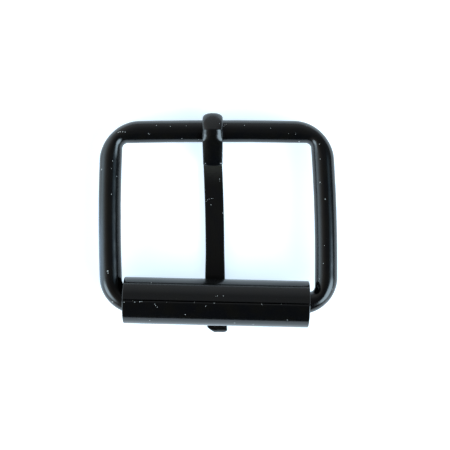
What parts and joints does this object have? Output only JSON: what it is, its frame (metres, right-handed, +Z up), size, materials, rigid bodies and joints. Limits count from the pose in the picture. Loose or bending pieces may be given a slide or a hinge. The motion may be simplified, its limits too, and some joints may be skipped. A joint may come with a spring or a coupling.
{
  "type": "roller buckle",
  "caption": "Black wire roller buckle for a belt: a rounded rectangular frame, a hooked tongue and a loose roller.",
  "frame": {"origin": "on the table under the middle of the buckle, which lies face down on its tongue", "axes": "+X along the heel bar, +Y from the roller towards the heel bar, +Z up, out of the buckle's back"},
  "size_m": [0.0485, 0.0451, 0.0111],
  "materials": {
    "frame_coat": "semi-gloss black coat on steel wire, with small chips",
    "tongue_coat": "semi-gloss black coat on flattened steel wire, rubbed at the cut end",
    "roller_coat": "semi-gloss black coat on rolled sheet steel, worn along the seam"
  },
  "bodies": {
    "frame": {"frame": "frame_coat"},
    "tongue": {"tongue": "tongue_coat"},
    "roller": {"roller": "roller_coat"}
  },
  "joints": [
    {"name": "tongue_swing", "type": "hinge", "parent": "frame", "child": "tongue", "pos_m": [-0.0011, 0.01862, 0.00392], "axis": [1, 0, 0], "range_deg": [0, 340]},
    {"name": "roller_spin", "type": "hinge", "parent": "frame", "child": "roller", "pos_m": [-0.00035, -0.01597, 0.0064], "axis": [0.9997, -0.0236, 0], "continuous": true}
  ]
}
